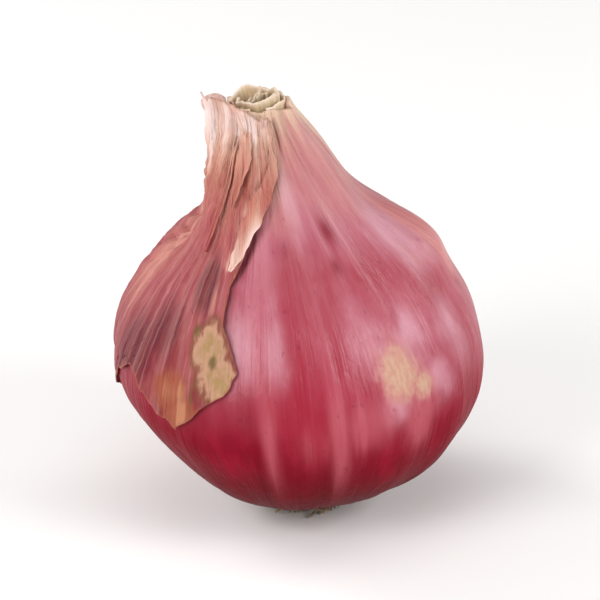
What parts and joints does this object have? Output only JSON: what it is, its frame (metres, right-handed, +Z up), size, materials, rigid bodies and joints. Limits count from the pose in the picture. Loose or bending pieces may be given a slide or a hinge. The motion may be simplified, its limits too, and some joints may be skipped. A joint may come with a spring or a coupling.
{
  "type": "onion",
  "caption": "Small red onion bulb with a tapered leaning neck, a torn dry outer skin, rolled dry leaf ends and a trimmed root plate that it stands on.",
  "frame": {"origin": "centre of the flat foot under the root plate", "axes": "+Z up from the root plate to the neck, -Y towards the viewer of the picture, +X to the viewer's right; the neck leans to -X"},
  "size_m": [0.0414, 0.0426, 0.0483],
  "materials": {
    "red_bulb_skin": "satin crimson skin with fine pale lengthwise veins",
    "dry_outer_skin": "dry papery skin, dull purple brown with pale torn edges",
    "dry_leaf_ends": "dry papery leaf ends, cream to tan",
    "dry_roots": "matt dry fibrous root plate"
  },
  "bodies": {
    "root": {"bulb": "red_bulb_skin", "outer_skin": "dry_outer_skin", "neck_leaves": "dry_leaf_ends", "root_plate": "dry_roots"}
  },
  "joints": []
}
